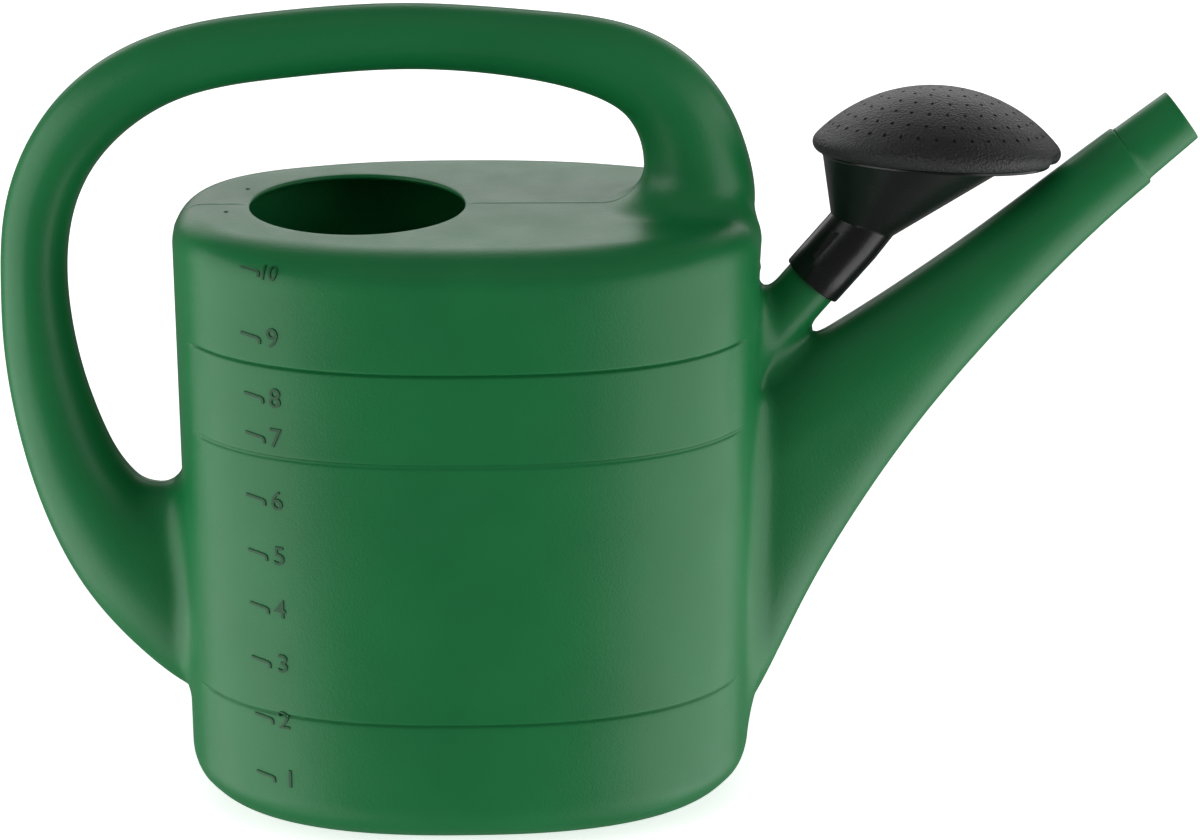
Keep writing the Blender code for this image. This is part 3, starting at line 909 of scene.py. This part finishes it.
def drilled_disc():
    """Points and triangles of a flat disc with the spray holes."""
    holes = spray_holes()
    border = ring(DRILLED_RADIUS, 0)[:, :2]
    rim = ring(HOLE_RADIUS, 0, sides=HOLE_SIDES)[:, :2]
    circles = [hole + rim for hole in holes]
    wide = [hole + rim * 1.9 for hole in holes]
    fill = []
    for k in range(1, int(DRILLED_RADIUS / DOME_STEP)):
        radius = DOME_STEP * k
        fill.append(ring(radius, 0, sides=max(6, int(2 * math.pi * radius / DOME_STEP)))[:, :2])
    fill = np.vstack([[(0.0, 0.0)], *fill])
    clear = np.linalg.norm(fill[:, None] - holes[None], axis=2).min(axis=1) > 2.2 * HOLE_RADIUS
    fill = fill[clear]
    parts = [border, *circles, *wide, fill]
    flat = np.vstack(parts)
    edges, start = [], 0
    for loop in [border, *circles]:
        here = start + np.arange(len(loop))
        edges += list(zip(here.tolist(), np.roll(here, -1).tolist()))
        start += len(loop)
    found = delaunay_2d_cdt([Vector(point) for point in flat], edges, [], 0, 1e-6)
    points = np.array([tuple(point) for point in found[0]])
    triangles = np.array(found[2])
    middle = points[triangles].mean(axis=1)
    off = np.linalg.norm(middle[:, None] - holes[None], axis=2).min(axis=1)
    triangles = triangles[off > HOLE_RADIUS * 0.98]
    corner = points[triangles]
    one, two = corner[:, 1] - corner[:, 0], corner[:, 2] - corner[:, 0]
    turned = one[:, 0] * two[:, 1] - one[:, 1] * two[:, 0] < 0
    triangles[turned] = triangles[turned][:, ::-1]
    return points, triangles


def pry_notch(points):
    """Presses the lip in where a screwdriver goes under it."""
    off = np.abs(np.degrees(np.arctan2(points[:, 1], points[:, 0])) - NOTCH_ANGLE)
    radius = np.linalg.norm(points[:, :2], axis=1)
    press = (1 - smoothstep(NOTCH_HALF, NOTCH_HALF + 1.7, off)) * smoothstep(49, 51, radius)
    press *= 1 - smoothstep(-1.6, 0.4, points[:, 2])
    points[:, :2] *= (1 - NOTCH_DEPTH / HEAD_RADIUS * press)[:, None]
    return points


def make_face(material):
    """The drilled dome, its rolled lip with the pry notch, and the skirt inside it."""
    flat, triangles = drilled_disc()
    radius = np.linalg.norm(flat, axis=1)
    outer = np.column_stack([flat, dome_height(radius)])
    inner = np.column_stack([flat, dome_height(radius, ROSE_WALL)])
    on_rim = np.where(radius > DRILLED_RADIUS - 1e-3)[0]
    on_rim = on_rim[np.argsort(np.arctan2(flat[on_rim, 1], flat[on_rim, 0]) % (2 * math.pi))]
    centre, foot = HEAD_RADIUS - LIP_ROUND, LIP_ROUND - LIP_DROP
    profile = [(r, dome_height(r)) for r in (50.4, 51.8, 52.5)]
    for turn in np.radians(np.linspace(40, -90, 10)):
        profile.append((centre + LIP_ROUND * math.cos(turn), foot + LIP_ROUND * math.sin(turn)))
    skirt = SPIGOT_RADIUS + ROSE_PLAY
    profile += [(skirt + 0.4, -LIP_DROP), (skirt, -LIP_DROP + 0.4), (skirt, -0.8)]
    profile.append((DRILLED_RADIUS, 0.6))
    border = np.arange(len(on_rim))
    angles = np.arctan2(flat[on_rim, 1], flat[on_rim, 0])
    rings = [
        pry_notch(np.stack([r * np.cos(angles), r * np.sin(angles), np.full(len(border), z)], 1))
        for r, z in profile
    ]
    count = len(flat)
    faces = triangles.tolist() + (triangles[:, ::-1] + count).tolist()
    rows = [on_rim] + [2 * count + k * len(border) + border for k in range(len(rings))]
    rows.append(on_rim + count)
    for high, low in zip(rows, rows[1:]):
        faces += np.stack([high, low, np.roll(low, -1), np.roll(high, -1)], 1).tolist()
    lone = hole_edges(triangles, set(on_rim.tolist()))
    faces += [[two, one, one + count, two + count] for one, two in lone]
    points = placed(np.vstack([outer, inner, *rings]), HEAD_FRAME)
    return piece("rose_head", points, faces, material, "face", "black_plastic", "rose_face")


def hole_edges(triangles, rim):
    """The borders of the spray holes, as directed edges of the triangles beside them."""
    edges = {(int(a), int(b)) for t in triangles for a, b in zip(t, np.roll(t, -1))}
    return [(a, b) for a, b in sorted(edges) if (b, a) not in edges and not {a, b} <= rim]


# ---------------------------------------------------------------- materials


TINT_PATCH, SHEEN_PATCH, SWELL = 0.045, 0.02, 0.06  # size of each kind of patch, metres
SHEEN_CHANGE = 0.03


def plastic(name, colour, darker, roughness, gloss, grain, grain_size):
    """A moulded plastic: slow swells, slight changes of colour and gloss, and a fine grain.

    The grain's height and size are in metres.
    """
    made = bpy.data.materials.new(name)
    made.use_nodes = True
    nodes, links = made.node_tree.nodes, made.node_tree.links
    shader = nodes["Principled BSDF"]
    shader.inputs["Metallic"].default_value = 0.0
    shader.inputs["IOR"].default_value = 1.5
    shader.inputs["Specular IOR Level"].default_value = gloss
    place = nodes.new("ShaderNodeTexCoord")

    def noise(size, detail, low, high):
        """Noise with features about size metres across, mapped on to low..high."""
        made_noise = nodes.new("ShaderNodeTexNoise")
        made_noise.inputs["Scale"].default_value = 1 / size
        made_noise.inputs["Detail"].default_value = detail
        links.new(place.outputs["Object"], made_noise.inputs["Vector"])
        spread = nodes.new("ShaderNodeMapRange")
        limits = {"From Min": 0.3, "From Max": 0.7, "To Min": low, "To Max": high}
        for limit, value in limits.items():
            spread.inputs[limit].default_value = value
        links.new(made_noise.outputs["Fac"], spread.inputs["Value"])
        return spread.outputs["Result"]

    tint = nodes.new("ShaderNodeMix")
    tint.data_type = "RGBA"
    tint.inputs["A"].default_value = (*colour, 1)
    tint.inputs["B"].default_value = (*darker, 1)
    links.new(noise(TINT_PATCH, 4, 0, 1), tint.inputs["Factor"])
    links.new(tint.outputs["Result"], shader.inputs["Base Color"])
    sheen = noise(SHEEN_PATCH, 5, roughness - SHEEN_CHANGE, roughness + SHEEN_CHANGE)
    links.new(sheen, shader.inputs["Roughness"])
    swell = nodes.new("ShaderNodeBump")
    swell.inputs["Strength"].default_value = 0.12
    swell.inputs["Distance"].default_value = 0.0006
    links.new(noise(SWELL, 2, 0, 1), swell.inputs["Height"])
    fine = nodes.new("ShaderNodeBump")
    fine.inputs["Strength"].default_value = 1.0
    fine.inputs["Distance"].default_value = grain
    links.new(noise(grain_size, 5, 0, 1), fine.inputs["Height"])
    links.new(swell.outputs["Normal"], fine.inputs["Normal"])
    links.new(fine.outputs["Normal"], shader.inputs["Normal"])
    return made


# ---------------------------------------------------------------- stage


def softbox(name, azimuth, height, distance, size, radiance, target):
    """A soft light at that azimuth: 0 is the camera's side, 90 the spout's."""
    turn = math.radians(azimuth)
    width, tall = size
    place = Vector((math.sin(turn) * distance, -math.cos(turn) * distance, height))
    light = bpy.data.lights.new(name, "AREA")
    light.shape = "RECTANGLE"
    light.size, light.size_y = width, tall
    light.energy = radiance * math.pi * width * tall
    made = bpy.data.objects.new(name, light)
    made.location = place
    made.rotation_euler = (Vector(target) - place).to_track_quat("-Z", "Y").to_euler()
    made.visible_camera = False
    bpy.context.scene.collection.objects.link(made)
    return made


def make_stage():
    """A pale floor that only the camera sees, the studio's light, and plain white surroundings."""
    world = bpy.data.worlds.new("studio")
    world.use_nodes = True
    world.node_tree.nodes["Background"].inputs["Color"].default_value = (1, 1, 1, 1)
    world.node_tree.nodes["Background"].inputs["Strength"].default_value = 0.17
    bpy.context.scene.world = world
    floor_paint = bpy.data.materials.new("floor_paint")
    floor_paint.use_nodes = True
    shader = floor_paint.node_tree.nodes["Principled BSDF"]
    shader.inputs["Base Color"].default_value = (0.86, 0.86, 0.86, 1)
    shader.inputs["Roughness"].default_value = 0.9
    shader.inputs["Emission Color"].default_value = (1, 1, 1, 1)
    shader.inputs["Emission Strength"].default_value = 0.7
    mesh = bpy.data.meshes.new("floor")
    mesh.from_pydata([(-9, -9, 0), (9, -9, 0), (9, 9, 0), (-9, 9, 0)], [], [(0, 1, 2, 3)])
    mesh.materials.append(floor_paint)
    floor = bpy.data.objects.new("floor", mesh)
    floor.location = (0, 0, -0.0002)
    floor.visible_glossy = False  # the can would mirror it as a grey haze
    floor.visible_diffuse = False
    floor.visible_shadow = False
    bpy.context.scene.collection.objects.link(floor)
    foot, middle = (0, 0, 0), (0, 0, 0.18)
    softbox("light_right", 75, -0.2, 1.6, (2.7, 2.8), 1.8, foot)
    softbox("light_left", -76, -0.1, 1.6, (2.2, 2.6), 2.0, foot)
    fill = softbox("light_top", 0, 2.0, 0.5, (2.0, 1.2), 0.85, middle)
    fill.visible_glossy = False
    softbox("light_low_right", 60, -0.9, 0.9, (1.0, 1.0), 0.8, middle)
    softbox("light_low_left", -53, -0.9, 1.0, (0.9, 0.9), 0.8, middle)
    softbox("light_back", 180, 1.05, 2.0, (3.0, 1.2), 1.5, middle)
    bpy.context.scene.view_settings.view_transform = "Standard"


def make_camera():
    """The photograph's viewpoint: a long lens, slightly above the can, turned a little right."""
    yaw, pitch, roll = 0.047, -0.353, 0.009
    forward = Vector(
        (math.sin(yaw) * math.cos(pitch), math.cos(yaw) * math.cos(pitch), math.sin(pitch))
    )
    right = Vector((math.cos(yaw), -math.sin(yaw), 0))
    up = right.cross(forward)
    side = right * math.cos(roll) + up * math.sin(roll)
    top = up * math.cos(roll) - right * math.sin(roll)
    camera = bpy.data.cameras.new("camera")
    camera.lens = 89.0
    camera.sensor_width = 36.0
    made = bpy.data.objects.new("camera", camera)
    turn = Matrix((side, top, -forward)).transposed().to_4x4()
    made.matrix_world = Matrix.Translation((-0.0573, -1.248, 0.631)) @ turn
    bpy.context.scene.collection.objects.link(made)
    bpy.context.scene.camera = made


# ---------------------------------------------------------------- build

green = plastic(
    "green_polyethylene", (0.0075, 0.168, 0.046), (0.0065, 0.15, 0.041),
    roughness=0.38, gloss=0.36, grain=0.00004, grain_size=0.0011,
)
# Painted shade: the litre marks and mould dots are the can's own green, made darker so they read
# as shaded relief.
mark_green_painted_shade = plastic(
    "mark_green_painted_shade", (0.003, 0.075, 0.021), (0.0025, 0.065, 0.018),
    roughness=0.42, gloss=0.36, grain=0.00004, grain_size=0.0011,
)
gloss_black = plastic(
    "black_gloss", (0.006, 0.006, 0.0065), (0.009, 0.009, 0.01),
    roughness=0.26, gloss=0.36, grain=0.00002, grain_size=0.0012,
)
grained_black = plastic(
    "black_grained", (0.009, 0.009, 0.01), (0.014, 0.014, 0.015),
    roughness=0.38, gloss=0.42, grain=0.0005, grain_size=0.0011,
)
# Painted light: the can's inside is a brighter copy of its green, standing in for the light that
# reaches the hollow.
inner_green_painted_light = plastic(
    "green_inside_painted_light", (0.014, 0.34, 0.095), (0.012, 0.3, 0.085),
    roughness=0.5, gloss=0.3, grain=0.00004, grain_size=0.0011,
)
shell_points, shell_faces, outside = can_shell()
CAN_NODES = ("tank_wall", "tank_top", "tank_base", "handle", "spout", "rose_peg")
# The inside faces carry the brighter green, which is painted light.
piece(
    "can_moulding", shell_points, shell_faces, green, "can", "green_plastic", *CAN_NODES,
    lining=(inner_green_painted_light, outside, 2 * outside),
)
make_marks(mark_green_painted_shade)
make_socket(gloss_black)
make_funnel(gloss_black)
make_face(grained_black)
make_stage()
make_camera()
bpy.context.view_layer.update()
